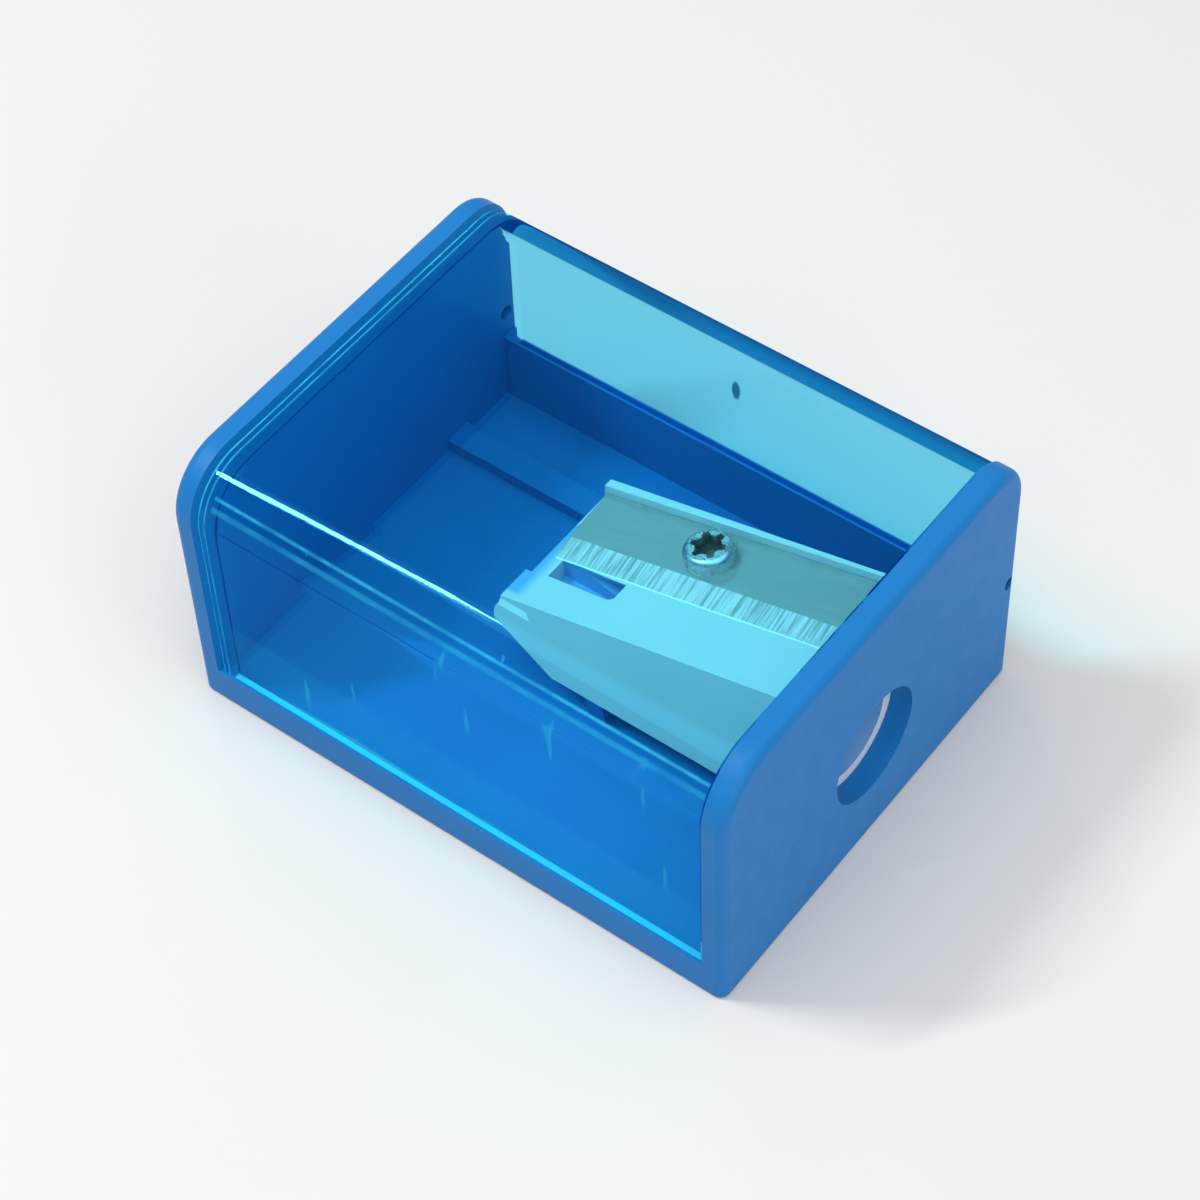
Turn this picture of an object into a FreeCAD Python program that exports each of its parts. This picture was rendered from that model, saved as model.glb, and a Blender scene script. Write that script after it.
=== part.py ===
import FreeCAD
import Part
import math
import os

import Sketcher
from FreeCAD import Placement, Rotation, Vector

# Box pencil sharpener with a shavings container, in millimetres.
# Origin: middle of the underside. +X points out of the pencil hole, -Y is the front, +Z is up.
# The cover hinges about an axis along X near the top of the low back wall.

os.makedirs("parts", exist_ok=True)
doc = FreeCAD.newDocument("BoxSharpener")
sheet = doc.addObject("Spreadsheet::Sheet", "Sizes")

DRIVING_SIZES = [
    ("body_length", 52.5, "over both end plates, along X"),
    ("body_depth", 40.0, "front to back, along Y"),
    ("body_height", 26.6, "underside to top, along Z"),
    ("plate_thickness", 2.0, "each end plate"),
    ("front_radius", 5.4, "end plate's upper front corner"),
    ("back_radius", 4.4, "end plate's upper back corner"),
    ("rim_radius", 0.9, "rounded outer rim of the end plates"),
    ("foot_radius", 0.35, "rounded edge round the underside"),
    ("floor_thickness", 2.3, "tray floor"),
    ("sill_height", 3.5, "front sill that the cover closes on"),
    ("sill_depth", 1.5, "front sill, along Y"),
    ("back_wall_height", 9.2, "low back wall of the tray"),
    ("back_wall_thickness", 1.6, "low back wall of the tray"),
    ("rail_front", 10.2, "front side of the floor rail, along Y"),
    ("rail_width", 2.6, "floor rail behind the sharpener"),
    ("rail_height", 1.2, "floor rail above the floor"),
    ("cradle_width", 1.6, "each rib under the sharpener, along X"),
    ("cradle_first", 3.0, "first rib under the sharpener, along X"),
    ("cradle_second", 19.0, "second rib under the sharpener, along X"),
    ("plate_hole_radius", 5.15, "clearance hole in the end plate"),
    ("axis_height", 11.0, "pencil axis above the underside"),
    ("pencil_bore_radius", 4.1, "mouth of the sharpener, for an 8 mm pencil"),
    ("cone_angle", 11.0, "half angle of the sharpening cone, and slope of the deck, degrees"),
    ("cover_gap", 0.25, "cover inside the outline and the ends of the tray"),
    ("cover_wall", 1.35, "cover's front, top and back walls"),
    ("cover_end_wall", 1.2, "cover's closed left end"),
    ("cover_lift", 0.1, "cover's front edge above the sill"),
    ("cover_back_edge", 9.5, "lower edge of the cover's back wall"),
    ("cover_edge_radius", 0.5, "cover's rounded left end"),
    ("hinge_y", 18.95, "hinge axis, along Y"),
    ("hinge_z", 11.8, "hinge axis, along Z"),
    ("hinge_pin_radius", 0.6, "pins moulded on the cover"),
    ("hinge_clearance", 0.05, "pin to hole, on the radius"),
    ("hinge_pin_recess", 0.3, "pin's end below the end plate's outer face"),
    ("insert_length", 29.85, "sharpener body, along X"),
    ("insert_nose", 0.6, "front part of the left end that stands out, along X"),
    ("insert_nose_side", 1.75, "step in the left end, in front of the pencil axis"),
    ("insert_bottom", 5.5, "underside of the sharpener body"),
    ("insert_front_foot", 6.3, "front side at the underside, in front of the pencil axis"),
    ("insert_front_lean", 0.237, "front side leans back by this much for each millimetre up"),
    ("insert_back_left", 8.9, "back side at the left end, behind the pencil axis"),
    ("insert_back_right", 10.2, "back side at the mouth, behind the pencil axis"),
    ("insert_undercut", 3.9, "height of the slope under the left end"),
    ("insert_undercut_run", 5.8, "length of the slope under the left end"),
    ("deck_left", 10.75, "deck height at the left end"),
    ("rib_height", 1.25, "rib behind the blade above the deck"),
    ("cone_cover", 0.08, "plastic left between the cone's top and the deck"),
    ("slit_left", -4.1, "slit under the blade, along the blade from its hole"),
    ("slit_length", 16.0, "slit, along the blade"),
    ("slit_setback", 0.1, "slit behind the cutting edge"),
    ("slit_width", 1.2, "slit, across the blade"),
    ("slit_depth", 0.9, "slit into the cone, below the blade"),
    ("blade_length", 26.8, "blade"),
    ("blade_left", 12.0, "blade's left end, from its hole"),
    ("blade_width", 7.7, "blade"),
    ("blade_thickness", 0.5, "blade"),
    ("blade_land", 0.05, "thickness left at the cutting edge"),
    ("bevel_width", 2.2, "ground bevel, across the blade"),
    ("blade_yaw", 3.4, "blade turned on its seat, degrees"),
    ("blade_x", 6.75, "blade's hole, along X"),
    ("blade_y", 4.9, "middle of the blade's width at its hole, along Y"),
    ("screw_offset", 0.95, "screw behind the middle of the blade's width"),
    ("blade_hole_radius", 1.35, "clearance hole in the blade"),
    ("screw_radius", 1.15, "screw shank"),
    ("screw_bite", 0.06, "shank larger than its hole in the plastic, on the radius"),
    ("screw_length", 5.2, "shank under the blade"),
    ("screw_head_radius", 2.2, "screw head"),
    ("screw_head_height", 1.35, "screw head"),
    ("screw_head_round", 0.6, "rounded top of the screw head"),
    ("recess_radius", 1.55, "six-lobed recess, out to its lobes"),
    ("recess_waist", 1.1, "six-lobed recess, in to the ridges between its lobes"),
    ("recess_depth", 1.0, "six-lobed recess"),
    ("chip_slot_left", -4.1, "chip slot, along X"),
    ("chip_slot_length", 6.3, "chip slot, along X"),
    ("chip_slot_front", 1.55, "chip slot, in front of the pencil axis"),
    ("chip_slot_corner", 0.4, "chip slot's cut-off right corner"),
    ("chip_slot_depth", 1.6, "chip slot below the deck at its left end"),
]

for row, (alias, value, meaning) in enumerate(DRIVING_SIZES, start=1):
    sheet.set(f"A{row}", meaning)
    sheet.set(f"B{row}", str(value))
    sheet.setAlias(f"B{row}", alias)
doc.recompute()


class Length:
    """A size that carries its number and the expression that ties it to the sheet."""

    def __init__(self, value, text):
        self.value = value
        self.text = text

    def combine(self, other, sign, value):
        other_text = other.text if isinstance(other, Length) else repr(other)
        return Length(value, f"({self.text} {sign} {other_text})")

    def __add__(self, other):
        return self.combine(other, "+", self.value + number(other))

    def __sub__(self, other):
        return self.combine(other, "-", self.value - number(other))

    def __mul__(self, other):
        return self.combine(other, "*", self.value * number(other))

    def __truediv__(self, other):
        return self.combine(other, "/", self.value / number(other))

    def __neg__(self):
        return Length(-self.value, f"(-1 * {self.text})")

    def tangent(self):
        return Length(math.tan(math.radians(self.value)), f"tan({self.text})")


def number(term):
    return term.value if isinstance(term, Length) else term


size = {alias: Length(value, f"Sizes.{alias}") for alias, value, _ in DRIVING_SIZES}

half_length = size["body_length"] / 2
half_depth = size["body_depth"] / 2
height = size["body_height"]
plate_inner = half_length - size["plate_thickness"]
inner_width = size["body_length"] - size["plate_thickness"] * 2
cover_end = plate_inner - size["cover_gap"]
cover_side = half_depth - size["cover_gap"]
cover_top = height - size["cover_gap"]
cover_bottom = size["sill_height"] + size["cover_lift"]
insert_left = plate_inner - size["insert_length"]
slope = size["cone_angle"].tangent()


def bind(item, path, term):
    """Tie a property to the sheet, or set it when the term is a plain number."""
    if isinstance(term, Length):
        item.setExpression(path, term.text)
    else:
        setattr(item, path, term)


def new_body(name):
    body = doc.addObject("PartDesign::Body", name)
    body.Label = name
    return body


def sketch_on(body, name, role, offset=None, lift=None):
    """A sketch on one of the body's origin planes, moved along the plane's normal or up."""
    sketch = body.newObject("Sketcher::SketchObject", name)
    plane = [item for item in body.Origin.OriginFeatures if item.Role == role][0]
    sketch.AttachmentSupport = [(plane, "")]
    sketch.MapMode = "FlatFace"
    if offset is not None:
        sketch.setExpression("AttachmentOffset.Base.z", offset.text)
    if lift is not None:
        sketch.setExpression("AttachmentOffset.Base.y", lift.text)
    return sketch


def hold(sketch, kind, item, point, term):
    """Hold one coordinate of a point, counted from the sketch's origin."""
    value = number(term)
    if abs(value) < 1e-9:
        axis = -2 if kind == "DistanceX" else -1
        sketch.addConstraint(Sketcher.Constraint("PointOnObject", item, point, axis))
        return
    ends = (-1, 1, item, point) if value > 0 else (item, point, -1, 1)
    index = sketch.addConstraint(Sketcher.Constraint(kind, *ends, abs(value)))
    if isinstance(term, Length):
        text = term.text if value > 0 else f"-1 * {term.text}"
        sketch.setExpression(f"Constraints[{index}]", text)


def polygon(sketch, points):
    """A closed outline through the points, each held by the sheet's sizes."""
    vectors = [Vector(number(x), number(y), 0) for x, y in points]
    first = sketch.GeometryCount
    for start, end in zip(vectors, vectors[1:] + vectors[:1]):
        sketch.addGeometry(Part.LineSegment(start, end), False)
    for index, (x, y) in enumerate(points):
        following = first + (index + 1) % len(points)
        sketch.addConstraint(Sketcher.Constraint("Coincident", first + index, 2, following, 1))
        hold(sketch, "DistanceX", first + index, 1, x)
        hold(sketch, "DistanceY", first + index, 1, y)


def arch(sketch, front, back, bottom, top, front_radius, back_radius):
    """A closed outline with a rounded corner at each end of its top line."""
    arc_centres = ((back - back_radius, top - back_radius), (front + front_radius, top - front_radius))
    corners = [(front, bottom), (back, bottom), (back, top - back_radius), (back - back_radius, top),
               (front + front_radius, top), (front, top - front_radius)]
    points = [Vector(number(x), number(y), 0) for x, y in corners]
    quarter = math.pi / 2
    arcs = []
    for index, radius in enumerate((back_radius, front_radius)):
        centre = Vector(number(arc_centres[index][0]), number(arc_centres[index][1]), 0)
        round_part = Part.Circle(centre, Vector(0, 0, 1), number(radius))
        arcs.append(Part.ArcOfCircle(round_part, quarter * index, quarter * (index + 1)))
    sketch.addGeometry(Part.LineSegment(points[0], points[1]), False)
    sketch.addGeometry(Part.LineSegment(points[1], points[2]), False)
    sketch.addGeometry(arcs[0], False)
    sketch.addGeometry(Part.LineSegment(points[3], points[4]), False)
    sketch.addGeometry(arcs[1], False)
    sketch.addGeometry(Part.LineSegment(points[5], points[0]), False)
    for end, start in ((0, 1), (5, 0)):
        sketch.addConstraint(Sketcher.Constraint("Coincident", end, 2, start, 1))
    for end, start in ((1, 2), (2, 3), (3, 4), (4, 5)):
        sketch.addConstraint(Sketcher.Constraint("Tangent", end, 2, start, 1))
    for line, kind in ((0, "Horizontal"), (1, "Vertical"), (3, "Horizontal"), (5, "Vertical")):
        sketch.addConstraint(Sketcher.Constraint(kind, line))
    for arc, radius in ((2, back_radius), (4, front_radius)):
        index = sketch.addConstraint(Sketcher.Constraint("Radius", arc, number(radius)))
        sketch.setExpression(f"Constraints[{index}]", radius.text)
    for kind, line, term in (("DistanceX", 0, front), ("DistanceY", 0, bottom), ("DistanceX", 1, back),
                             ("DistanceY", 3, top)):
        hold(sketch, kind, line, 1, term)


def rectangle(sketch, x0, x1, y0, y1):
    polygon(sketch, [(x0, y0), (x1, y0), (x1, y1), (x0, y1)])


def circle(sketch, x, y, radius):
    centre = Vector(number(x), number(y), 0)
    index = sketch.addGeometry(Part.Circle(centre, Vector(0, 0, 1), number(radius)), False)
    radius_at = sketch.addConstraint(Sketcher.Constraint("Radius", index, number(radius)))
    sketch.setExpression(f"Constraints[{radius_at}]", radius.text)
    hold(sketch, "DistanceX", index, 3, x)
    hold(sketch, "DistanceY", index, 3, y)


def volume(body):
    doc.recompute()
    return body.Shape.Volume


def pad(body, sketch, length, backwards=False, both_ways=False):
    before = volume(body) if body.Tip else 0
    feature = body.newObject("PartDesign::Pad", f"{sketch.Name}Pad")
    feature.Profile = sketch
    feature.Reversed = backwards
    feature.Midplane = both_ways
    bind(feature, "Length", length)
    if volume(body) <= before:
        raise RuntimeError(f"{feature.Name} added nothing")
    return feature


def pocket(body, sketch, length, backwards=False, both_ways=False):
    before = volume(body)
    feature = body.newObject("PartDesign::Pocket", f"{sketch.Name}Pocket")
    feature.Profile = sketch
    feature.Reversed = backwards
    feature.Midplane = both_ways
    bind(feature, "Length", length)
    if volume(body) >= before:
        raise RuntimeError(f"{feature.Name} cut nothing")
    return feature


def edge_names(feature, wanted):
    """Names of the feature's edges whose box satisfies the test."""
    edges = enumerate(feature.Shape.Edges, start=1)
    return [f"Edge{place}" for place, edge in edges if wanted(edge.BoundBox)]


def fillet(body, name, base, wanted, radius):
    doc.recompute()
    names = edge_names(base, wanted)
    if not names:
        raise RuntimeError(f"{name} found no edges")
    feature = body.newObject("PartDesign::Fillet", name)
    feature.Base = (base, names)
    bind(feature, "Radius", radius)
    doc.recompute()
    return feature


def near(a, b):
    return abs(a - number(b)) < 0.01


def runs_along_x(box, y, z):
    """An edge that runs along X at the given y and z."""
    return near(box.YMin, y) and near(box.YMax, y) and near(box.ZMin, z) and near(box.ZMax, z)


def subtract_box(body, name, corner, spans, turn):
    """Cut a box whose corner and turn are given in the sharpener deck's own frame."""
    before = volume(body)
    feature = body.newObject("PartDesign::SubtractiveBox", name)
    for path, term in zip(("Length", "Width", "Height"), spans):
        bind(feature, path, term)
    feature.Placement = turn.multiply(Placement(Vector(*[number(term) for term in corner]), Rotation()))
    if volume(body) >= before:
        raise RuntimeError(f"{name} cut nothing")
    return feature


def build_tray():
    """Floor, front sill, low back wall and both end plates, moulded in one piece."""
    body = new_body("tray")
    block = sketch_on(body, "TrayBlock", "XY_Plane")
    rectangle(block, -half_length, half_length, -half_depth, half_depth)
    step = pad(body, block, height)
    step = fillet(body, "TrayFrontTop", step, lambda b: runs_along_x(b, -half_depth, height),
                  size["front_radius"])
    step = fillet(body, "TrayBackTop", step, lambda b: runs_along_x(b, half_depth, height),
                  size["back_radius"])

    def on_rim(box):
        flat = near(box.XMin, box.XMax) and near(abs(box.XMin), half_length)
        return flat and not near(box.ZMax, 0)

    step = fillet(body, "TrayRim", step, on_rim, size["rim_radius"])
    step = fillet(body, "TrayFoot", step, lambda b: near(b.ZMax, 0), size["foot_radius"])

    room = sketch_on(body, "CoverRoom", "YZ_Plane")
    sill_back = size["sill_depth"] - half_depth
    wall_front = half_depth - size["back_wall_thickness"]
    outside = half_depth + 2
    polygon(room, [(-outside, size["sill_height"]), (sill_back, size["sill_height"]),
                   (sill_back, size["floor_thickness"]), (wall_front, size["floor_thickness"]),
                   (wall_front, size["back_wall_height"]), (outside, size["back_wall_height"]),
                   (outside, height + 2), (-outside, height + 2)])
    pocket(body, room, inner_width, both_ways=True)

    rail = sketch_on(body, "FloorRail", "XY_Plane", size["floor_thickness"])
    rectangle(rail, -inner_width / 2, inner_width / 2, size["rail_front"],
              size["rail_front"] + size["rail_width"])
    pad(body, rail, size["rail_height"])

    cradle_front = -size["insert_front_foot"]
    for name, place in (("First", size["cradle_first"]), ("Second", size["cradle_second"])):
        rib = sketch_on(body, f"{name}Cradle", "XY_Plane", size["floor_thickness"])
        rectangle(rib, place, place + size["cradle_width"], cradle_front, size["insert_back_left"])
        pad(body, rib, size["insert_bottom"] - size["floor_thickness"])

    hole = sketch_on(body, "PencilHole", "YZ_Plane", half_length)
    circle(hole, 0, size["axis_height"], size["plate_hole_radius"])
    pocket(body, hole, size["plate_thickness"] + 0.5)
    hinge = sketch_on(body, "HingeHoles", "YZ_Plane")
    circle(hinge, size["hinge_y"], size["hinge_z"], size["hinge_pin_radius"] + size["hinge_clearance"])
    pocket(body, hinge, size["body_length"] + 2, both_ways=True)
    return body


def build_cover():
    """Translucent cover: front, top and back walls, closed left end, and both hinge pins."""
    body = new_body("hinged_cover")
    wall = size["cover_wall"]
    outer_front = size["front_radius"] - size["cover_gap"]
    outer_back = size["back_radius"] - size["cover_gap"]
    block = sketch_on(body, "CoverBlock", "XY_Plane", cover_bottom)
    rectangle(block, -cover_end, cover_end, -cover_side, cover_side)
    step = pad(body, block, cover_top - cover_bottom)
    step = fillet(body, "CoverFrontTop", step, lambda b: runs_along_x(b, -cover_side, cover_top),
                  outer_front)
    step = fillet(body, "CoverBackTop", step, lambda b: runs_along_x(b, cover_side, cover_top),
                  outer_back)

    inner_left = size["cover_end_wall"] - cover_end
    hollow = sketch_on(body, "CoverHollow", "YZ_Plane", inner_left)
    inner_side = cover_side - wall
    inner_top = cover_top - wall
    arch(hollow, -inner_side, inner_side, cover_bottom - 1, inner_top, outer_front - wall,
         outer_back - wall)
    pocket(body, hollow, size["body_length"], backwards=True)

    back_cut = sketch_on(body, "BackEdge", "YZ_Plane")
    rectangle(back_cut, inner_side - 1.2, half_depth + 1, cover_bottom - 1, size["cover_back_edge"])
    step = pocket(body, back_cut, size["body_length"], both_ways=True)

    def on_left_arch(box):
        flat = near(box.XMin, -cover_end) and near(box.XMax, -cover_end)
        tall = box.ZMax > number(size["cover_back_edge"]) + 1
        return flat and tall and not near(box.YMin, inner_side - 1.2)

    step = fillet(body, "CoverLeftEdge", step, on_left_arch, size["cover_edge_radius"])

    def on_inner_left(box):
        flat = near(box.XMin, inner_left) and near(box.XMax, inner_left)
        return flat and box.ZMax > number(size["cover_back_edge"]) + 1

    fillet(body, "CoverInnerLeft", step, on_inner_left, size["cover_edge_radius"])

    pin_length = size["plate_thickness"] - size["hinge_pin_recess"] + size["cover_gap"]
    for name, side, backwards in (("Left", -cover_end, True), ("Right", cover_end, False)):
        pin = sketch_on(body, f"{name}Pin", "YZ_Plane", side)
        circle(pin, size["hinge_y"], size["hinge_z"], size["hinge_pin_radius"])
        pad(body, pin, pin_length, backwards)
    return body


def seat_frame():
    """Frame of the blade: on its underside at the hole, x along the cutting edge, z off the deck."""
    tilt = Rotation(Vector(0, 1, 0), -number(size["cone_angle"]))
    yaw = Rotation(Vector(0, 0, 1), number(size["blade_yaw"]))
    x = number(size["blade_x"])
    deck = number(size["deck_left"]) + (x - number(insert_left)) * number(slope)
    return Placement(Vector(x, number(size["blade_y"]), deck), tilt.multiply(yaw))


def build_sharpener_body():
    """White wedge with the blade seat, the sharpening cone and the chip slot."""
    body = new_body("sharpener_body")
    top = size["body_height"] - 4
    lean = size["insert_front_lean"]
    front_foot = -size["insert_front_foot"]
    front_top = front_foot + (top - size["insert_bottom"]) * lean
    section = sketch_on(body, "InsertSection", "YZ_Plane", plate_inner)
    polygon(section, [(front_foot, size["insert_bottom"]), (size["insert_back_right"], size["insert_bottom"]),
                      (size["insert_back_right"], top), (front_top, top)])
    pad(body, section, size["insert_length"] + size["insert_nose"], backwards=True)

    plan = sketch_on(body, "BackSide", "XY_Plane")
    nose_left = insert_left - size["insert_nose"]
    polygon(plan, [(nose_left - 1, size["insert_back_left"]), (insert_left, size["insert_back_left"]),
                   (plate_inner, size["insert_back_right"]), (plate_inner, size["insert_back_right"] + 2),
                   (nose_left - 1, size["insert_back_right"] + 2)])
    pocket(body, plan, size["body_height"], backwards=True)
    nose = sketch_on(body, "LeftStep", "XY_Plane")
    rectangle(nose, nose_left - 1, insert_left, -size["insert_nose_side"], size["insert_back_right"] + 2)
    pocket(body, nose, size["body_height"], backwards=True)

    under = sketch_on(body, "Undercut", "XZ_Plane")
    low = size["insert_bottom"]
    polygon(under, [(nose_left - 1, low - 1), (nose_left + size["insert_undercut_run"], low - 1),
                    (nose_left + size["insert_undercut_run"], low),
                    (nose_left, low + size["insert_undercut"]),
                    (nose_left - 1, low + size["insert_undercut"])])
    pocket(body, under, size["body_depth"], both_ways=True)

    turn = seat_frame()
    long_side = size["body_length"] * 2
    reach = -size["body_depth"]
    rib_front = size["blade_width"] / 2 + 0.05
    subtract_box(body, "RibTop", (-size["body_length"], reach, size["rib_height"]),
                 (long_side, size["body_depth"] * 2, size["body_height"]), turn)
    subtract_box(body, "Deck", (-size["body_length"], reach, 0),
                 (long_side, rib_front - reach, size["body_height"]), turn)
    half_width = size["blade_width"] / 2
    subtract_box(body, "Slit", (size["slit_left"], size["slit_setback"] - half_width, -size["slit_depth"]),
                 (size["slit_length"], size["slit_width"], size["slit_depth"] + 0.1), turn)

    chip = sketch_on(body, "ChipSlot", "XY_Plane", size["deck_left"] - size["chip_slot_depth"])
    chip_right = size["chip_slot_left"] + size["chip_slot_length"]
    corner = size["chip_slot_corner"]
    polygon(chip, [(size["chip_slot_left"], -size["chip_slot_front"]),
                   (chip_right - corner, -size["chip_slot_front"]),
                   (chip_right, corner - size["chip_slot_front"]),
                   (chip_right, size["blade_thickness"]),
                   (size["chip_slot_left"], size["blade_thickness"])])
    pocket(body, chip, size["body_height"], backwards=True)

    cone = sketch_on(body, "PencilBore", "XZ_Plane", lift=size["axis_height"])
    tip_rise = size["deck_left"] - size["cone_cover"] - size["axis_height"]
    tip = insert_left - tip_rise / slope
    mouth = plate_inner + 1
    cone_end = tip + size["pencil_bore_radius"] / slope
    polygon(cone, [(tip, 0), (mouth, 0), (mouth, size["pencil_bore_radius"]),
                   (cone_end, size["pencil_bore_radius"])])
    before = volume(body)
    bore = body.newObject("PartDesign::Groove", "PencilBoreGroove")
    bore.Profile = cone
    bore.ReferenceAxis = (cone, ["H_Axis"])
    bore.Angle = 360
    if volume(body) >= before:
        raise RuntimeError("the pencil bore cut nothing")

    before = volume(body)
    hole = body.newObject("PartDesign::SubtractiveCylinder", "ScrewHole")
    bind(hole, "Radius", size["screw_radius"] - size["screw_bite"])
    bind(hole, "Height", size["screw_length"] + 0.3)
    down = Vector(0, number(size["screw_offset"]), -number(size["screw_length"]) - 0.3)
    hole.Placement = turn.multiply(Placement(down, Rotation()))
    if volume(body) >= before:
        raise RuntimeError("the screw hole cut nothing")
    return body


def build_blade():
    """Steel blade with one ground bevel along its cutting edge and one clearance hole."""
    body = new_body("blade")
    half_width = size["blade_width"] / 2
    section = sketch_on(body, "BladeSection", "YZ_Plane", -size["blade_left"])
    polygon(section, [(-half_width, 0), (half_width, 0), (half_width, size["blade_thickness"]),
                      (size["bevel_width"] - half_width, size["blade_thickness"]),
                      (-half_width, size["blade_land"])])
    pad(body, section, size["blade_length"])
    hole = sketch_on(body, "BladeHole", "XY_Plane")
    circle(hole, 0, size["screw_offset"], size["blade_hole_radius"])
    pocket(body, hole, size["blade_thickness"] + 1, backwards=True)
    body.Placement = seat_frame()
    return body


def build_screw():
    """Domed screw with a six-lobed recess, which clamps the blade on its seat."""
    body = new_body("blade_screw")
    head = sketch_on(body, "ScrewHead", "XY_Plane", size["blade_thickness"])
    circle(head, 0, size["screw_offset"], size["screw_head_radius"])
    step = pad(body, head, size["screw_head_height"])
    top = size["blade_thickness"] + size["screw_head_height"]
    step = fillet(body, "HeadRound", step, lambda b: near(b.ZMin, top) and near(b.ZMax, top),
                  size["screw_head_round"])
    shank = sketch_on(body, "ScrewShank", "XY_Plane", size["blade_thickness"])
    circle(shank, 0, size["screw_offset"], size["screw_radius"])
    pad(body, shank, size["screw_length"] + size["blade_thickness"], backwards=True)
    recess = sketch_on(body, "Recess", "XY_Plane", top)
    outline = []
    for lobe in range(6):
        for radius, angle in ((size["recess_waist"], -20), (size["recess_radius"], -9),
                              (size["recess_radius"], 9), (size["recess_waist"], 20)):
            turned = math.radians(60 * lobe + 10 + angle)
            outline.append((radius * round(math.cos(turned), 5),
                            size["screw_offset"] + radius * round(math.sin(turned), 5)))
    polygon(recess, outline)
    pocket(body, recess, size["recess_depth"])
    body.Placement = seat_frame()
    return body


nodes = [build_tray(), build_cover(), build_sharpener_body(), build_blade(), build_screw()]
doc.recompute()

for item in doc.Objects:
    if "Invalid" in item.State or "Error" in item.State:
        raise RuntimeError(f"{item.Name} did not compute: {item.State}")
for node in nodes:
    shape = node.Shape
    if shape.isNull() or not shape.isValid() or len(shape.Solids) != 1:
        raise RuntimeError(f"{node.Label} is not one valid solid")
for node in nodes:
    node.Shape.exportStep(f"parts/{node.Label}.step")
    box = node.Shape.BoundBox
    print(f"{node.Label}: {node.Shape.Volume:.1f} mm3, x {box.XMin:.2f} to {box.XMax:.2f}, "
          f"y {box.YMin:.2f} to {box.YMax:.2f}, z {box.ZMin:.2f} to {box.ZMax:.2f}")
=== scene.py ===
import math

import bpy
from mathutils import Euler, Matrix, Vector

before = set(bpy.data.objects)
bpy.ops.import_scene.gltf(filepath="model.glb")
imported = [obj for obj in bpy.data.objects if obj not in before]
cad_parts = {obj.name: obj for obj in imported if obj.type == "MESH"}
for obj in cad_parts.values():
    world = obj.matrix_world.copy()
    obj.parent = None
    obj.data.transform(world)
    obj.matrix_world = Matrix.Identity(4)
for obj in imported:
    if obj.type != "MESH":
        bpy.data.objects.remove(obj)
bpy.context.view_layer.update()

# ---------------------------------------------------------------- table, light and viewpoint
# A pale matt table under a large soft lamp that hangs almost overhead. A narrow lamp high on the front
# left draws the bright line along the cover's rounded edge, a small weak one stands high at the back
# left, and a wide one low on the right lights the end plate.

TABLE_SIZE = 3.0
TABLE_COLOUR = (0.67, 0.67, 0.66, 1.0)
ROOM_COLOUR = (0.93, 0.97, 1.0, 1.0)
ROOM_LIGHT = 0.38
LAMP_TARGET = (0.0, 0.0, 0.012)
CAMERA_LENS = 100.2
CAMERA_PLACE = (0.10574, -0.13143, 0.21702)
CAMERA_DEGREES = (39.136, 1.63, 36.852)


def link_mesh(name, mesh):
    """Put a mesh into the scene as an object at the origin."""
    piece = bpy.data.objects.new(name, mesh)
    bpy.context.scene.collection.objects.link(piece)
    return piece


def new_material(name):
    """A material with nodes, and its Principled shader."""
    material = bpy.data.materials.new(name)
    material.use_nodes = True
    return material, material.node_tree, material.node_tree.nodes["Principled BSDF"]


def soft_lamp(name, direction, distance, size, watts, spin=0.0):
    """An area lamp that looks at the middle of the part, spun about its own axis in degrees."""
    lamp = bpy.data.lights.new(name, "AREA")
    lamp.shape = "RECTANGLE"
    lamp.size, lamp.size_y = size
    lamp.energy = watts
    towards = Vector(direction).normalized()
    holder = bpy.data.objects.new(name, lamp)
    holder.location = Vector(LAMP_TARGET) + towards * distance
    holder.rotation_euler = (-towards).to_track_quat("-Z", "Y").to_euler()
    holder.rotation_euler.rotate_axis("Z", math.radians(spin))
    bpy.context.scene.collection.objects.link(holder)


half_table = TABLE_SIZE / 2
table_mesh = bpy.data.meshes.new("table")
table_mesh.from_pydata([(-half_table, -half_table, 0), (half_table, -half_table, 0),
                        (half_table, half_table, 0), (-half_table, half_table, 0)], [], [(0, 1, 2, 3)])
table = link_mesh("table", table_mesh)
table_material, table_tree, table_shader = new_material("table_top")
table_shader.inputs["Base Color"].default_value = TABLE_COLOUR
table_shader.inputs["Roughness"].default_value = 0.75
table_shader.inputs["Specular IOR Level"].default_value = 0.2
table_mesh.materials.append(table_material)

world = bpy.data.worlds.new("room")
world.use_nodes = True
world.node_tree.nodes["Background"].inputs["Color"].default_value = ROOM_COLOUR
world.node_tree.nodes["Background"].inputs["Strength"].default_value = ROOM_LIGHT
bpy.context.scene.world = world
bpy.context.scene.view_settings.view_transform = "Standard"

soft_lamp("top_lamp", (0.16, -0.10, 0.98), 0.60, (0.75, 0.75), 3.0)
soft_lamp("edge_lamp", (-0.475, -0.287, 0.832), 0.466, (0.018, 0.170), 1.0, 31.0)
soft_lamp("rim_lamp", (-0.66, 0.523, 0.53), 0.50, (0.030, 0.006), 0.09)
soft_lamp("end_lamp", (0.95, -0.35, 0.30), 0.60, (0.45, 0.45), 1.2)

camera_data = bpy.data.cameras.new("camera")
camera_data.lens = CAMERA_LENS
camera_data.clip_start = 0.01
camera = bpy.data.objects.new("camera", camera_data)
camera.location = CAMERA_PLACE
camera.rotation_euler = Euler([math.radians(angle) for angle in CAMERA_DEGREES])
bpy.context.scene.collection.objects.link(camera)
bpy.context.scene.camera = camera

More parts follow.
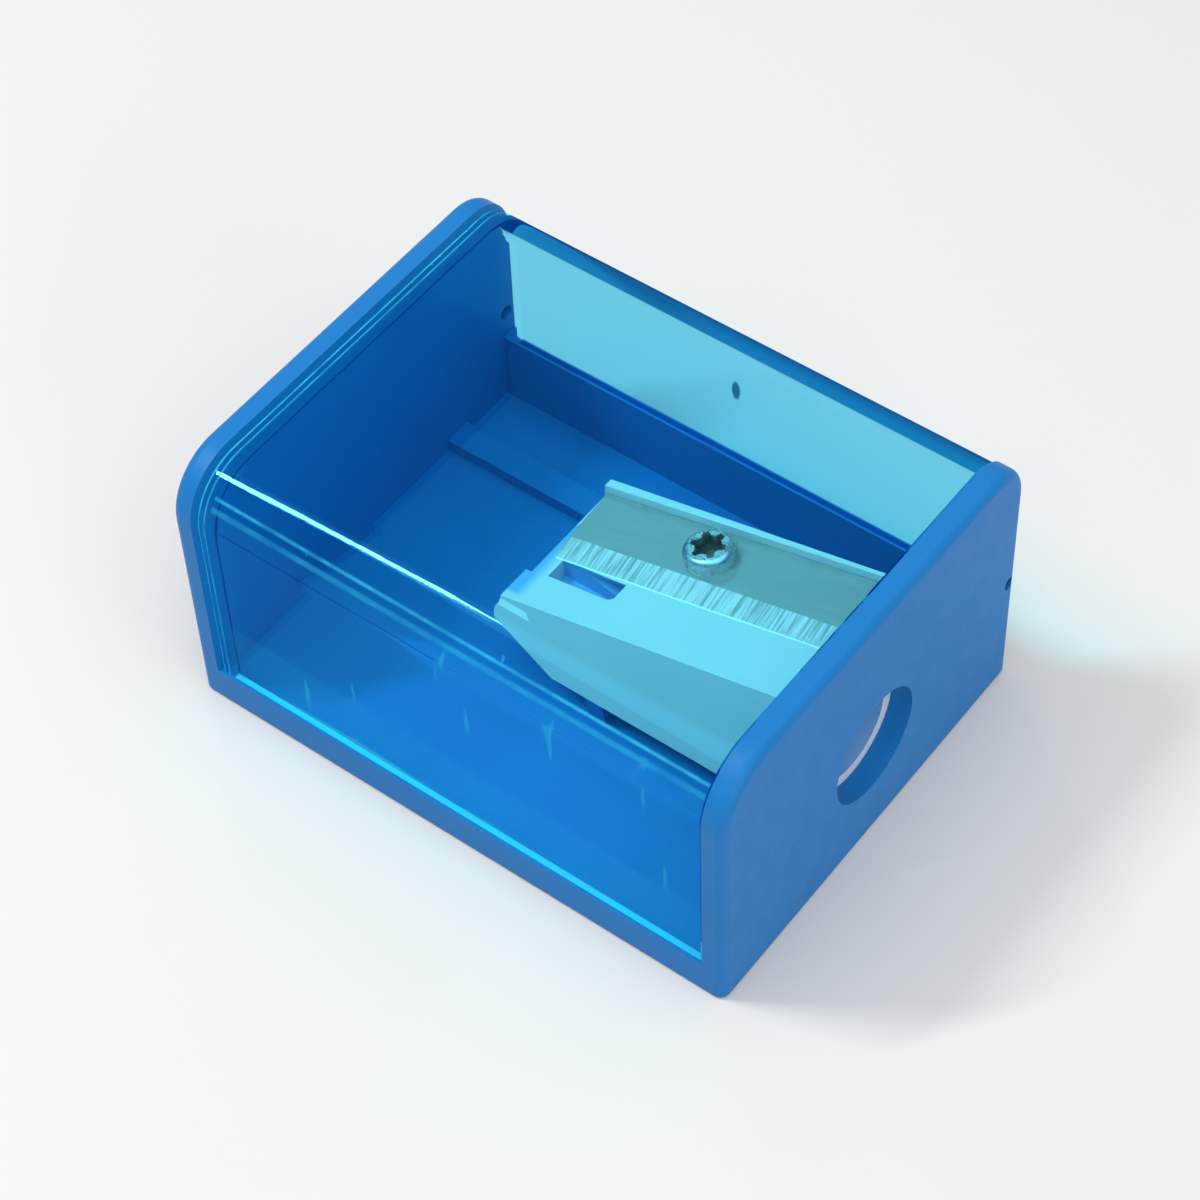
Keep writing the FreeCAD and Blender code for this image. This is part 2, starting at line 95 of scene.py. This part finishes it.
# ---------------------------------------------------------------- tray
# Opaque blue moulding in one piece: floor, front sill, low back wall and both end plates. Its satin
# skin has a fine spark texture from the mould, and tiny tonal clouds from the pigment.

TRAY_COLOUR = (0.008, 0.150, 0.440, 1.0)
TRAY_PALE = (0.010, 0.180, 0.490, 1.0)
TRAY_SPECULAR = 0.14
SKIN_HEIGHT = 0.0001


def group_value(group, kind, name, default, low=0.0, high=1.0):
    """A named input on a shader group."""
    socket = group.interface.new_socket(name, in_out="INPUT", socket_type=kind)
    socket.default_value = default
    if kind == "NodeSocketFloat":
        socket.min_value = low
        socket.max_value = high


def make_moulded_skin():
    """Clouds of tone, a roughness that wanders, and a fine skin, for moulded plastic."""
    group = bpy.data.node_groups.new("moulded_skin", "ShaderNodeTree")
    group_value(group, "NodeSocketColor", "Colour", (0.5, 0.5, 0.5, 1.0))
    group_value(group, "NodeSocketColor", "Pale Colour", (0.6, 0.6, 0.6, 1.0))
    group_value(group, "NodeSocketFloat", "Roughness", 0.4)
    group_value(group, "NodeSocketFloat", "Roughness Spread", 0.1)
    group_value(group, "NodeSocketFloat", "Grain Scale", 3000.0, 1.0, 20000.0)
    group_value(group, "NodeSocketFloat", "Grain Depth", 0.1)
    group.interface.new_socket("Colour", in_out="OUTPUT", socket_type="NodeSocketColor")
    group.interface.new_socket("Roughness", in_out="OUTPUT", socket_type="NodeSocketFloat")
    group.interface.new_socket("Height", in_out="OUTPUT", socket_type="NodeSocketFloat")
    nodes, links = group.nodes, group.links
    given = nodes.new("NodeGroupInput")
    result = nodes.new("NodeGroupOutput")
    place = nodes.new("ShaderNodeTexCoord")

    clouds = nodes.new("ShaderNodeTexNoise")
    clouds.inputs["Scale"].default_value = 120.0
    clouds.inputs["Detail"].default_value = 4.0
    links.new(place.outputs["Object"], clouds.inputs["Vector"])
    tone = nodes.new("ShaderNodeMix")
    tone.data_type = "RGBA"
    links.new(clouds.outputs["Fac"], tone.inputs["Factor"])
    links.new(given.outputs["Colour"], tone.inputs["A"])
    links.new(given.outputs["Pale Colour"], tone.inputs["B"])
    links.new(tone.outputs["Result"], result.inputs["Colour"])

    wander = nodes.new("ShaderNodeTexNoise")
    wander.inputs["Scale"].default_value = 420.0
    wander.inputs["Detail"].default_value = 5.0
    links.new(place.outputs["Object"], wander.inputs["Vector"])
    centred = nodes.new("ShaderNodeMath")
    centred.operation = "SUBTRACT"
    centred.inputs[1].default_value = 0.5
    links.new(wander.outputs["Fac"], centred.inputs[0])
    spread = nodes.new("ShaderNodeMath")
    spread.operation = "MULTIPLY_ADD"
    links.new(centred.outputs["Value"], spread.inputs[0])
    links.new(given.outputs["Roughness Spread"], spread.inputs[1])
    links.new(given.outputs["Roughness"], spread.inputs[2])
    links.new(spread.outputs["Value"], result.inputs["Roughness"])

    grain = nodes.new("ShaderNodeTexNoise")
    grain.inputs["Detail"].default_value = 3.0
    links.new(place.outputs["Object"], grain.inputs["Vector"])
    links.new(given.outputs["Grain Scale"], grain.inputs["Scale"])
    depth = nodes.new("ShaderNodeMath")
    depth.operation = "MULTIPLY"
    links.new(grain.outputs["Fac"], depth.inputs[0])
    links.new(given.outputs["Grain Depth"], depth.inputs[1])
    links.new(depth.outputs["Value"], result.inputs["Height"])
    return group


def bump_normal(tree, height, distance, strength):
    """The normal of a skin that rises and falls with the given height."""
    bump = tree.nodes.new("ShaderNodeBump")
    bump.inputs["Distance"].default_value = distance
    bump.inputs["Strength"].default_value = strength
    tree.links.new(height, bump.inputs["Height"])
    return bump.outputs["Normal"]


def add_skin(tree, shader, skin, values):
    """Feed a Principled shader from the moulded skin."""
    node = tree.nodes.new("ShaderNodeGroup")
    node.node_tree = skin
    for name, value in values.items():
        node.inputs[name].default_value = value
    normal = bump_normal(tree, node.outputs["Height"], SKIN_HEIGHT, 1.0)
    tree.links.new(normal, shader.inputs["Normal"])
    tree.links.new(node.outputs["Colour"], shader.inputs["Base Color"])
    tree.links.new(node.outputs["Roughness"], shader.inputs["Roughness"])
    return node


def dress(node, material):
    """Give a carried-over solid its material."""
    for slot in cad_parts[node].material_slots:
        slot.material = material


moulded_skin = make_moulded_skin()
tray_material, tray_tree, tray_shader = new_material("satin_blue_plastic")
add_skin(tray_tree, tray_shader, moulded_skin,
         {"Colour": TRAY_COLOUR, "Pale Colour": TRAY_PALE, "Roughness": 0.42,
          "Roughness Spread": 0.18, "Grain Scale": 4200.0, "Grain Depth": 0.16})
tray_shader.inputs["Specular IOR Level"].default_value = TRAY_SPECULAR
dress("tray", tray_material)

# ---------------------------------------------------------------- hinged cover
# Clear blue polystyrene, polished in the mould: front, top and back walls, a closed left end and two
# hinge pins. Handling has left faint scuffs. Lamps reach what is inside, tinted on the way.

COVER_IOR = 1.45
COVER_TINT = (0.44, 0.86, 0.98)
LIGHT_TINT = (0.42, 0.96, 1.0)
POLISH_TINT = (0.12, 0.60, 0.95, 1.0)
# Deeper tint of the painted reflection inside the wall.
MIRRORED_TINT = (0.045, 0.34, 0.66, 1.0)
SCUFF_SCALE = 260.0
SCUFF_ROUGHNESS = (0.01, 0.09)
RIPPLE_SCALE = 160.0
RIPPLE_HEIGHT = 0.00002
RIPPLE_STRENGTH = 0.35
MIRROR_SHARES = (0.030, 0.06)
GATE_MARK = (0.0001, 0.0184, 0.0178)
GATE_MARK_SIZE = (0.00045, 0.0006, 0.0011)
GATE_MARK_TINT = (0.05, 0.22, 0.36, 1.0)
END_WALL_DEEP_TINT = (0.40, 0.85, 0.95)
END_WALL_INNER_FACE = -0.0226
END_WALL_GLOSS = 0.04
# Pale cyan of the painted highlight lines, also used for the scratches.
SCRATCH_AND_HIGHLIGHT_COLOUR = (0.04, 0.58, 0.86, 1.0)
LOWER_EDGE = 0.0036
# How high the painted sheen low on the front reaches, and its share.
FRONT_SHEEN_TOP = 0.0105
FRONT_SHEEN_SHARE = 0.06
SCRATCH_SCALE = 700.0
SCRATCH_SHARE = 0.30
# Scale of the streaks in the painted highlight just above the lower edge.
LEDGE_STREAK_SCALE = 500.0
FRONT_MARKS_BACK = -0.0178

# A painted highlight line or band along an edge: where its middle is, half its width, and its share
# there.
ROUNDING_LINES = ((0.0246, 0.00016, 0.50), (0.0238, 0.00030, 0.30))
LEDGE_BAND = (LOWER_EDGE + 0.0010, 0.0009, 0.45)
END_LINES = ((-0.0237, 0.00016, 0.75), (-0.0231, 0.00012, 0.45))

# The width that the border of a painted mark fades over.
SHARP_FADE = 0.00002
SOFT_FADE = 0.0002


def face_tint(tint):
    """What one face of a wall lets through, so that its two faces together give the tint."""
    return tuple(math.sqrt(part) for part in tint) + (1.0,)


def mask_between(tree, value, low, high, start=0.0, end=1.0):
    """A value that goes from start to end as the given one goes from low to high."""
    node = tree.nodes.new("ShaderNodeMapRange")
    for name, number in (("From Min", low), ("From Max", high), ("To Min", start), ("To Max", end)):
        node.inputs[name].default_value = number
    tree.links.new(value, node.inputs["Value"])
    return node.outputs["Result"]


def blend_colours(tree, factor, first, second):
    """A colour between two, each a colour or a socket."""
    node = tree.nodes.new("ShaderNodeMix")
    node.data_type = "RGBA"
    tree.links.new(factor, node.inputs["Factor"])
    for name, colour in (("A", first), ("B", second)):
        if isinstance(colour, tuple):
            node.inputs[name].default_value = colour
        else:
            tree.links.new(colour, node.inputs[name])
    return node.outputs["Result"]


def noise_on(tree, place, scale, detail, roughness=0.5):
    """Noise over the piece."""
    noise = tree.nodes.new("ShaderNodeTexNoise")
    noise.inputs["Scale"].default_value = scale
    noise.inputs["Detail"].default_value = detail
    noise.inputs["Roughness"].default_value = roughness
    tree.links.new(place, noise.inputs["Vector"])
    return noise.outputs["Fac"]


def lined_noise(tree, place, scale, stretch, detail=3.0):
    """Fine parallel lines: noise that is stretched along one axis."""
    squeeze = tree.nodes.new("ShaderNodeMapping")
    squeeze.inputs["Scale"].default_value = stretch
    tree.links.new(place, squeeze.inputs["Vector"])
    return noise_on(tree, squeeze.outputs["Vector"], scale, detail)


def join_values(tree, operation, first, second):
    """Two values joined by a Math node; the second may be a plain number."""
    node = tree.nodes.new("ShaderNodeMath")
    node.operation = operation
    tree.links.new(first, node.inputs[0])
    if isinstance(second, float):
        node.inputs[1].default_value = second
    else:
        tree.links.new(second, node.inputs[1])
    return node.outputs["Value"]


def on_vectors(tree, operation, first, second=None):
    """A Vector Math node on one vector or on two; the second may be plain numbers."""
    node = tree.nodes.new("ShaderNodeVectorMath")
    node.operation = operation
    tree.links.new(first, node.inputs[0])
    if isinstance(second, tuple):
        node.inputs[1].default_value = second
    elif second is not None:
        tree.links.new(second, node.inputs[1])
    return node


def band_around(tree, value, middle, half_width, share):
    """A value that reaches its share in the middle of a band and nothing outside it."""
    offset = join_values(tree, "SUBTRACT", value, middle)
    away = join_values(tree, "MULTIPLY", join_values(tree, "SIGN", offset, 0.0), offset)
    return mask_between(tree, away, half_width * 0.3, half_width, share, 0.0)


def two_bands(tree, value, bands):
    """Two bands beside each other."""
    first, second = [band_around(tree, value, *band) for band in bands]
    return join_values(tree, "MAXIMUM", first, second)


def mix_shaders(tree, factor, first, second):
    """A Mix Shader between two shader sockets."""
    node = tree.nodes.new("ShaderNodeMixShader")
    tree.links.new(factor, node.inputs["Fac"])
    tree.links.new(first, node.inputs[1])
    tree.links.new(second, node.inputs[2])
    return node.outputs["Shader"]


cover_material, cover_tree, cover_shader = new_material("clear_blue_plastic")
cover_nodes, cover_links = cover_tree.nodes, cover_tree.links
cover_nodes.remove(cover_shader)
cover_place = cover_nodes.new("ShaderNodeTexCoord").outputs["Object"]
cover_axes = cover_nodes.new("ShaderNodeSeparateXYZ")
cover_links.new(cover_place, cover_axes.inputs["Vector"])
along, level = cover_axes.outputs["X"], cover_axes.outputs["Z"]
seen_from_inside = cover_nodes.new("ShaderNodeNewGeometry").outputs["Backfacing"]
slant = cover_nodes.new("ShaderNodeLayerWeight")
slant.inputs["Blend"].default_value = 0.5

# A small dark oval on the back wall is the mark of the gate that the plastic came in by.
to_mark = on_vectors(cover_tree, "SUBTRACT", cover_place, GATE_MARK)
in_mark_sizes = on_vectors(cover_tree, "DIVIDE", to_mark.outputs["Vector"], GATE_MARK_SIZE)
from_mark = on_vectors(cover_tree, "LENGTH", in_mark_sizes.outputs["Vector"])
off_mark = mask_between(cover_tree, from_mark.outputs["Value"], 0.75, 1.05)
bent_tint = blend_colours(cover_tree, off_mark, GATE_MARK_TINT, face_tint(COVER_TINT))

# The polished wall bends light, mirrors a little of it, and is a trifle rough where it is scuffed.
scuffs = noise_on(cover_tree, cover_place, SCUFF_SCALE, 6.0, 0.7)
scuffed = mask_between(cover_tree, scuffs, 0.58, 0.75, *SCUFF_ROUGHNESS)
ripples = noise_on(cover_tree, cover_place, RIPPLE_SCALE, 2.0)
rippled = bump_normal(cover_tree, ripples, RIPPLE_HEIGHT, RIPPLE_STRENGTH)
bent = cover_nodes.new("ShaderNodeBsdfRefraction")
bent.inputs["IOR"].default_value = COVER_IOR
cover_links.new(bent_tint, bent.inputs["Color"])
polish = cover_nodes.new("ShaderNodeBsdfGlossy")
polish.inputs["Color"].default_value = POLISH_TINT
for skin in (bent, polish):
    cover_links.new(scuffed, skin.inputs["Roughness"])
    cover_links.new(rippled, skin.inputs["Normal"])
mirror_share = mask_between(cover_tree, slant.outputs["Facing"], 0.3, 1.0, *MIRROR_SHARES)
wall = mix_shaders(cover_tree, mirror_share, bent.outputs["BSDF"], polish.outputs["BSDF"])

# Where the wall would mirror the view inside itself, it lets that view through in a deeper tint
# instead: a painted reflection.
carried = cover_nodes.new("ShaderNodeBsdfTransparent")
carried.inputs["Color"].default_value = MIRRORED_TINT
inside_mirror = cover_nodes.new("ShaderNodeFresnel")
inside_mirror.inputs["IOR"].default_value = COVER_IOR
mirrored_inside = join_values(cover_tree, "MULTIPLY", inside_mirror.outputs["Fac"], seen_from_inside)
mirrored = mask_between(cover_tree, mirrored_inside, 0.6, 0.98)
wall = mix_shaders(cover_tree, mirrored, wall, carried.outputs["BSDF"])

# A pale cyan line is painted along the wall's lower edge: a painted highlight for the light that the
# wall carries down to it.
scratches_and_painted_light = cover_nodes.new("ShaderNodeBsdfDiffuse")
scratches_and_painted_light.inputs["Color"].default_value = SCRATCH_AND_HIGHLIGHT_COLOUR
on_lower_edge = mask_between(cover_tree, level, LOWER_EDGE + 2 * SHARP_FADE, LOWER_EDGE + SHARP_FADE)
wall = mix_shaders(cover_tree, on_lower_edge, wall, scratches_and_painted_light.outputs["BSDF"])

# Two thin highlight lines are painted along the front rounding, a pale sheen is painted low on the
# front, a streaky highlight is painted just above its lower edge, and handling has scratched the
# front.
patchy = mask_between(cover_tree, scuffs, 0.35, 0.60, 0.35, 1.0)
rounding_lines = two_bands(cover_tree, level, ROUNDING_LINES)
painted_front_sheen = mask_between(cover_tree, level, FRONT_SHEEN_TOP - SOFT_FADE, FRONT_SHEEN_TOP + SOFT_FADE, FRONT_SHEEN_SHARE, 0.0)
scratch_lines = lined_noise(cover_tree, cover_place, SCRATCH_SCALE, (1.0, 1.0, 0.10), 2.0)
scratches = mask_between(cover_tree, scratch_lines, 0.69, 0.75, 0.0, SCRATCH_SHARE)
ledge_lines = lined_noise(cover_tree, cover_place, LEDGE_STREAK_SCALE, (0.12, 1.0, 2.0))
ledge_streaks = mask_between(cover_tree, ledge_lines, 0.52, 0.62)
on_ledge = band_around(cover_tree, level, *LEDGE_BAND)
painted_ledge_highlight = join_values(cover_tree, "MULTIPLY", ledge_streaks, on_ledge)
marks = join_values(cover_tree, "MULTIPLY", rounding_lines, patchy)
for mark in (painted_front_sheen, scratches, painted_ledge_highlight):
    marks = join_values(cover_tree, "MAXIMUM", marks, mark)
on_front = mask_between(cover_tree, cover_axes.outputs["Y"], FRONT_MARKS_BACK,
                        FRONT_MARKS_BACK - SOFT_FADE)
front_outside = join_values(cover_tree, "SUBTRACT", on_front, seen_from_inside)
front_outside = join_values(cover_tree, "MAXIMUM", front_outside, 0.0)
front_marks = join_values(cover_tree, "MULTIPLY", marks, front_outside)
wall = mix_shaders(cover_tree, front_marks, wall, scratches_and_painted_light.outputs["BSDF"])

# The left end lets light straight through, a shade deeper in tint where it is seen aslant, and only
# its outside is glossy.
slanting = mask_between(cover_tree, slant.outputs["Facing"], 0.35, 0.95)
end_tint = blend_colours(cover_tree, slanting, face_tint(COVER_TINT), face_tint(END_WALL_DEEP_TINT))
end_clear = cover_nodes.new("ShaderNodeBsdfTransparent")
cover_links.new(end_tint, end_clear.inputs["Color"])
end_gloss = mask_between(cover_tree, seen_from_inside, 0.0, 1.0, END_WALL_GLOSS, 0.0)
end_wall = mix_shaders(cover_tree, end_gloss, end_clear.outputs["BSDF"], polish.outputs["BSDF"])
off_end_wall = mask_between(cover_tree, along, END_WALL_INNER_FACE - SHARP_FADE / 2,
                            END_WALL_INNER_FACE + SHARP_FADE / 2)
whole_cover = mix_shaders(cover_tree, off_end_wall, end_wall, wall)

# Thin highlight lines are painted along the rounded edges of the left end in the same way.
end_lines = join_values(cover_tree, "MULTIPLY", two_bands(cover_tree, along, END_LINES), patchy)
from_outside = mask_between(cover_tree, seen_from_inside, 0.0, 1.0, 1.0, 0.0)
end_lines = join_values(cover_tree, "MULTIPLY", end_lines, from_outside)
whole_cover = mix_shaders(cover_tree, end_lines, whole_cover, scratches_and_painted_light.outputs["BSDF"])

# Light goes straight through to what is inside, tinted by each face.
light_way = cover_nodes.new("ShaderNodeBsdfTransparent")
light_way.inputs["Color"].default_value = face_tint(LIGHT_TINT)
light_path = cover_nodes.new("ShaderNodeLightPath")
for ray in ("Is Diffuse Ray", "Is Shadow Ray"):
    whole_cover = mix_shaders(cover_tree, light_path.outputs[ray], whole_cover,
                              light_way.outputs["BSDF"])
cover_links.new(whole_cover, cover_nodes["Material Output"].inputs["Surface"])
dress("hinged_cover", cover_material)

# ---------------------------------------------------------------- sharpener body
# White plastic wedge, moulded with a seat for the blade, a chip slot and the sharpening cone. It is
# pushed in against the right end plate, where the pencil enters.

WHITE_COLOUR = (0.64, 0.66, 0.71, 1.0)
WHITE_PALE = (0.71, 0.73, 0.76, 1.0)
PENCIL_AXIS_HEIGHT = 0.0110
BORE_RADIUS = 0.0041
# Blue painted light inside the bore.
PAINTED_BORE_LIGHT = (0.20, 0.44, 0.78, 1.0)

white_material, white_tree, white_shader = new_material("white_plastic")
white_skin = add_skin(white_tree, white_shader, moulded_skin,
                      {"Colour": WHITE_COLOUR, "Pale Colour": WHITE_PALE, "Roughness": 0.42,
                       "Roughness Spread": 0.15, "Grain Scale": 3000.0, "Grain Depth": 0.10})

# Painted light: inside the bore the colour turns blue, for light that soaks through the wedge and
# leaves there.
white_place = white_tree.nodes.new("ShaderNodeTexCoord").outputs["Object"]
white_normal = white_tree.nodes.new("ShaderNodeNewGeometry").outputs["Normal"]
on_axis = on_vectors(white_tree, "MULTIPLY_ADD", white_place, (0.0, 1.0, 1.0))
on_axis.inputs[2].default_value = (0.0, 0.0, -PENCIL_AXIS_HEIGHT)
from_axis = on_vectors(white_tree, "LENGTH", on_axis.outputs["Vector"])
near_axis = mask_between(white_tree, from_axis.outputs["Value"], BORE_RADIUS + 0.0004,
                         BORE_RADIUS + 0.00003)
facing = on_vectors(white_tree, "DOT_PRODUCT", white_normal, on_axis.outputs["Vector"])
faces_axis = mask_between(white_tree, facing.outputs["Value"], 0.0, -0.0002)
in_bore = join_values(white_tree, "MULTIPLY", near_axis, faces_axis)
white_tone = blend_colours(white_tree, in_bore, white_skin.outputs["Colour"], PAINTED_BORE_LIGHT)
white_tree.links.new(white_tone, white_shader.inputs["Base Color"])
dress("sharpener_body", white_material)

# ---------------------------------------------------------------- blade
# Rolled steel strip with one bevel ground across its width, so the bevel carries fine lines at right
# angles to the cutting edge, and the flat carries lines along the strip.

BLADE_HOLE = (0.00675, 0.0049)
BLADE_YAW = 3.4
BLADE_WIDTH = 0.0077
BEVEL_WIDTH = 0.0022
BEVEL_BLUR = 0.00003
CUTTING_LINE = 0.00016
# White painted highlight along the cutting edge.
CUTTING_EDGE_HIGHLIGHT = (1.0, 1.0, 1.0, 1.0)
BEVEL_TONES = ((0.34, 0.34, 0.34, 1.0), (0.80, 0.70, 0.70, 1.0))
FLAT_TONES = ((0.34, 0.34, 0.33, 1.0), (0.44, 0.43, 0.42, 1.0))
BEVEL_METALLIC = 0.12
FLAT_METALLIC = 0.65
STEEL_ROUGHNESS = (0.34, 0.50)
CROSS_LINE_SCALE = 5200.0
ROLLED_LINE_SCALE = 1500.0
GROUND_HEIGHT = 0.00002
GROUND_STRENGTH = 0.8

blade_material, blade_tree, blade_shader = new_material("ground_steel")
blade_nodes, blade_links = blade_tree.nodes, blade_tree.links
to_hole = blade_nodes.new("ShaderNodeMapping")
to_hole.inputs["Location"].default_value = (-BLADE_HOLE[0], -BLADE_HOLE[1], 0.0)
blade_links.new(blade_nodes.new("ShaderNodeTexCoord").outputs["Object"], to_hole.inputs["Vector"])
to_strip = blade_nodes.new("ShaderNodeMapping")
to_strip.inputs["Rotation"].default_value = (0.0, 0.0, math.radians(-BLADE_YAW))
blade_links.new(to_hole.outputs["Vector"], to_strip.inputs["Vector"])
on_strip = to_strip.outputs["Vector"]
strip_axes = blade_nodes.new("ShaderNodeSeparateXYZ")
blade_links.new(on_strip, strip_axes.inputs["Vector"])
across = strip_axes.outputs["Y"]
cutting_edge = -BLADE_WIDTH / 2
bevel_back = BEVEL_WIDTH - BLADE_WIDTH / 2
on_flat = mask_between(blade_tree, across, bevel_back - BEVEL_BLUR, bevel_back + BEVEL_BLUR)
off_edge = mask_between(blade_tree, across, cutting_edge + CUTTING_LINE / 2,
                        cutting_edge + CUTTING_LINE)
cross_lines = lined_noise(blade_tree, on_strip, CROSS_LINE_SCALE, (1.0, 0.05, 0.05), 4.0)
cross_marks = mask_between(blade_tree, cross_lines, 0.36, 0.58)
rolled_lines = lined_noise(blade_tree, on_strip, ROLLED_LINE_SCALE, (0.03, 1.0, 1.0))
bevel_tone = blend_colours(blade_tree, cross_marks, *BEVEL_TONES)
flat_tone = blend_colours(blade_tree, rolled_lines, *FLAT_TONES)
two_tones = blend_colours(blade_tree, on_flat, bevel_tone, flat_tone)
# A white highlight is painted along the cutting edge.
whole_tone = blend_colours(blade_tree, off_edge, CUTTING_EDGE_HIGHLIGHT, two_tones)
metallic = mask_between(blade_tree, on_flat, 0.0, 1.0, BEVEL_METALLIC, FLAT_METALLIC)
roughness = mask_between(blade_tree, rolled_lines, 0.0, 1.0, *STEEL_ROUGHNESS)
ground_lines = blend_colours(blade_tree, on_flat, cross_lines, rolled_lines)
ground_normal = bump_normal(blade_tree, ground_lines, GROUND_HEIGHT, GROUND_STRENGTH)
blade_links.new(whole_tone, blade_shader.inputs["Base Color"])
blade_links.new(metallic, blade_shader.inputs["Metallic"])
blade_links.new(roughness, blade_shader.inputs["Roughness"])
blade_links.new(ground_normal, blade_shader.inputs["Normal"])
dress("blade", blade_material)

# ---------------------------------------------------------------- blade screw
# Zinc-plated steel screw with a domed head and a six-lobed recess. It clamps the blade on its seat.
# The plating is cloudy, and shade is painted dark down in the recess.

SCREW_HEAD_TOP = 0.00185
SCREW_OFFSET = 0.00095
SEAT_HEIGHT = 0.01315
DECK_SLOPE = 11.0
RECESS_FLOOR = 0.00085
RECESS_REACH = 0.0016
PLATING_TONES = ((0.46, 0.49, 0.50, 1.0), (0.72, 0.74, 0.74, 1.0))
PLATING_ROUGHNESS = (0.18, 0.40)
PLATING_METALLIC = 0.9
PLATING_SCALE = 1600.0
PLATING_HEIGHT = 0.00003
PLATING_STRENGTH = 0.6
# Painted shade down in the recess.
RECESS_SHADE = (0.10, 0.085, 0.075, 1.0)

screw_material, screw_tree, screw_shader = new_material("plated_steel")
screw_nodes, screw_links = screw_tree.nodes, screw_tree.links
screw_place = screw_nodes.new("ShaderNodeTexCoord").outputs["Object"]
to_seat = screw_nodes.new("ShaderNodeMapping")
to_seat.inputs["Location"].default_value = (-BLADE_HOLE[0], -BLADE_HOLE[1], -SEAT_HEIGHT)
screw_links.new(screw_place, to_seat.inputs["Vector"])
off_seat = screw_nodes.new("ShaderNodeMapping")
off_seat.inputs["Rotation"].default_value = (0.0, math.radians(DECK_SLOPE), 0.0)
screw_links.new(to_seat.outputs["Vector"], off_seat.inputs["Vector"])
screw_axes = screw_nodes.new("ShaderNodeSeparateXYZ")
screw_links.new(off_seat.outputs["Vector"], screw_axes.inputs["Vector"])
flattened = on_vectors(screw_tree, "MULTIPLY", off_seat.outputs["Vector"], (1.0, 1.0, 0.0))
from_screw_axis = on_vectors(screw_tree, "DISTANCE", flattened.outputs["Vector"],
                             (0.0, SCREW_OFFSET, 0.0))
deep = mask_between(screw_tree, screw_axes.outputs["Z"], SCREW_HEAD_TOP - 0.00010, RECESS_FLOOR)
within_recess = mask_between(screw_tree, from_screw_axis.outputs["Value"], RECESS_REACH + 0.00012,
                             RECESS_REACH)
recessed = join_values(screw_tree, "MULTIPLY", deep, within_recess)
plating = noise_on(screw_tree, screw_place, PLATING_SCALE, 5.0, 0.6)
plating_tone = blend_colours(screw_tree, plating, *PLATING_TONES)
screw_tone = blend_colours(screw_tree, recessed, plating_tone, RECESS_SHADE)
cloudy = mask_between(screw_tree, plating, 0.3, 0.7, *PLATING_ROUGHNESS)
plating_normal = bump_normal(screw_tree, plating, PLATING_HEIGHT, PLATING_STRENGTH)
screw_shader.inputs["Metallic"].default_value = PLATING_METALLIC
screw_links.new(screw_tone, screw_shader.inputs["Base Color"])
screw_links.new(cloudy, screw_shader.inputs["Roughness"])
screw_links.new(plating_normal, screw_shader.inputs["Normal"])
dress("blade_screw", screw_material)
